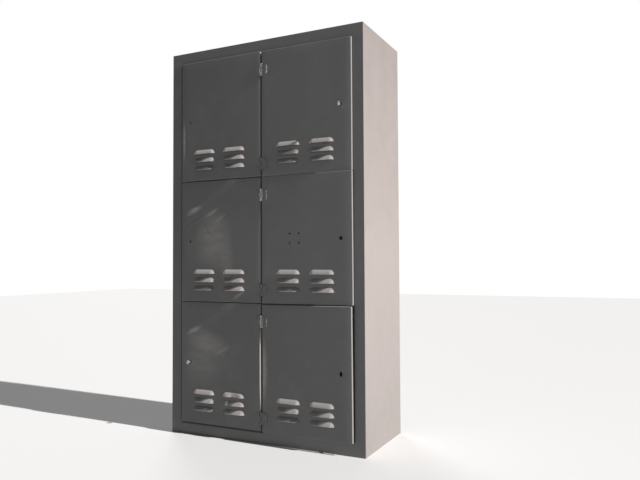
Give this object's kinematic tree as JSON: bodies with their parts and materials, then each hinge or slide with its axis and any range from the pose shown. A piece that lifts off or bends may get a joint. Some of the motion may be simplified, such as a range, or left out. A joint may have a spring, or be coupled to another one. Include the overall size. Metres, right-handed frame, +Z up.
{
  "type": "parcel locker",
  "caption": "Upright sheet-steel parcel locker with a flat front frame, louvred overlay doors in two columns and cam locks.",
  "frame": {"origin": "centre of the overall footprint, on the floor", "axes": "+Z up, doors face -Y, +X to the right as seen from the front"},
  "size_m": [0.99, 0.469, 1.8],
  "materials": {
    "door_paint": "dark grey semi-gloss enamel, scuffed",
    "body_paint": "light warm grey semi-matt enamel",
    "zinc_plate": "dull zinc plate",
    "key_metal": "worn nickel plate",
    "rubber": "matt"
  },
  "bodies": {
    "root": {"left_side_panel": "body_paint", "right_side_panel": "body_paint", "back_panel": "body_paint", "top_panel": "body_paint", "base_panel": "body_paint", "centre_partition": "body_paint", "compartment_floors": "body_paint", "middle_shelves": "body_paint", "upper_shelves": "body_paint", "frame_left_stile": "door_paint", "frame_right_stile": "door_paint", "frame_top_rail": "door_paint", "frame_bottom_rail": "door_paint", "centre_post": "door_paint", "lower_cross_rails": "door_paint", "upper_cross_rails": "door_paint", "strike_plates": "zinc_plate", "door_bumpers": "rubber", "hinge_brackets": "door_paint", "hinge_pins": "zinc_plate"},
    "door_tl": {"door_panel_tl": "door_paint", "door_stiffener_tl": "door_paint", "hinge_leaves_tl": "door_paint", "lock_case_tl": "zinc_plate"},
    "lock_tl": {"lock_plug_tl": "door_paint", "lock_cam_tl": "zinc_plate"},
    "door_ml": {"door_panel_ml": "door_paint", "door_stiffener_ml": "door_paint", "hinge_leaves_ml": "door_paint", "lock_case_ml": "zinc_plate"},
    "lock_ml": {"lock_plug_ml": "door_paint", "lock_cam_ml": "zinc_plate"},
    "door_bl": {"door_panel_bl": "door_paint", "door_stiffener_bl": "door_paint", "hinge_leaves_bl": "door_paint", "lock_case_bl": "zinc_plate"},
    "lock_bl": {"lock_plug_bl": "door_paint", "lock_cam_bl": "zinc_plate", "key_bl": "key_metal"},
    "door_tr": {"door_panel_tr": "door_paint", "door_stiffener_tr": "door_paint", "hinge_leaves_tr": "door_paint", "lock_case_tr": "zinc_plate"},
    "lock_tr": {"lock_plug_tr": "door_paint", "lock_cam_tr": "zinc_plate", "key_tr": "key_metal"},
    "door_mr": {"door_panel_mr": "door_paint", "door_stiffener_mr": "door_paint", "hinge_leaves_mr": "door_paint", "lock_case_mr": "zinc_plate"},
    "lock_mr": {"lock_plug_mr": "door_paint", "lock_cam_mr": "zinc_plate"},
    "door_br": {"door_panel_br": "door_paint", "door_stiffener_br": "door_paint", "hinge_leaves_br": "door_paint"}
  },
  "joints": [
    {"name": "door_tl_hinge", "type": "hinge", "parent": "root", "child": "door_tl", "pos_m": [0.0019, -0.207, 1.46267], "axis": [0, 0, 1], "range_deg": [0, 84]},
    {"name": "lock_tl_turn", "type": "hinge", "parent": "door_tl", "child": "lock_tl", "pos_m": [-0.3825, -0.2085, 1.46267], "axis": [0, 1, 0], "range_deg": [0, 90]},
    {"name": "door_ml_hinge", "type": "hinge", "parent": "root", "child": "door_ml", "pos_m": [0.0019, -0.207, 0.9], "axis": [0, 0, 1], "range_deg": [0, 84]},
    {"name": "lock_ml_turn", "type": "hinge", "parent": "door_ml", "child": "lock_ml", "pos_m": [-0.3825, -0.2085, 0.9], "axis": [0, 1, 0], "range_deg": [0, 90]},
    {"name": "door_bl_hinge", "type": "hinge", "parent": "root", "child": "door_bl", "pos_m": [0.0019, -0.207, 0.33733], "axis": [0, 0, 1], "range_deg": [0, 84]},
    {"name": "lock_bl_turn", "type": "hinge", "parent": "door_bl", "child": "lock_bl", "pos_m": [-0.3825, -0.2085, 0.33733], "axis": [0, 1, 0], "range_deg": [0, 90]},
    {"name": "door_tr_hinge", "type": "hinge", "parent": "root", "child": "door_tr", "pos_m": [0.0111, -0.207, 1.46267], "axis": [0, 0, -1], "range_deg": [0, 84]},
    {"name": "lock_tr_turn", "type": "hinge", "parent": "door_tr", "child": "lock_tr", "pos_m": [0.3955, -0.2085, 1.46267], "axis": [0, -1, 0], "range_deg": [0, 90]},
    {"name": "door_mr_hinge", "type": "hinge", "parent": "root", "child": "door_mr", "pos_m": [0.0111, -0.207, 0.9], "axis": [0, 0, -1], "range_deg": [0, 84]},
    {"name": "lock_mr_turn", "type": "hinge", "parent": "door_mr", "child": "lock_mr", "pos_m": [0.3955, -0.2085, 0.9], "axis": [0, -1, 0], "range_deg": [0, 90]},
    {"name": "door_br_hinge", "type": "hinge", "parent": "root", "child": "door_br", "pos_m": [0.0111, -0.207, 0.33733], "axis": [0, 0, -1], "range_deg": [-1, 83]}
  ]
}
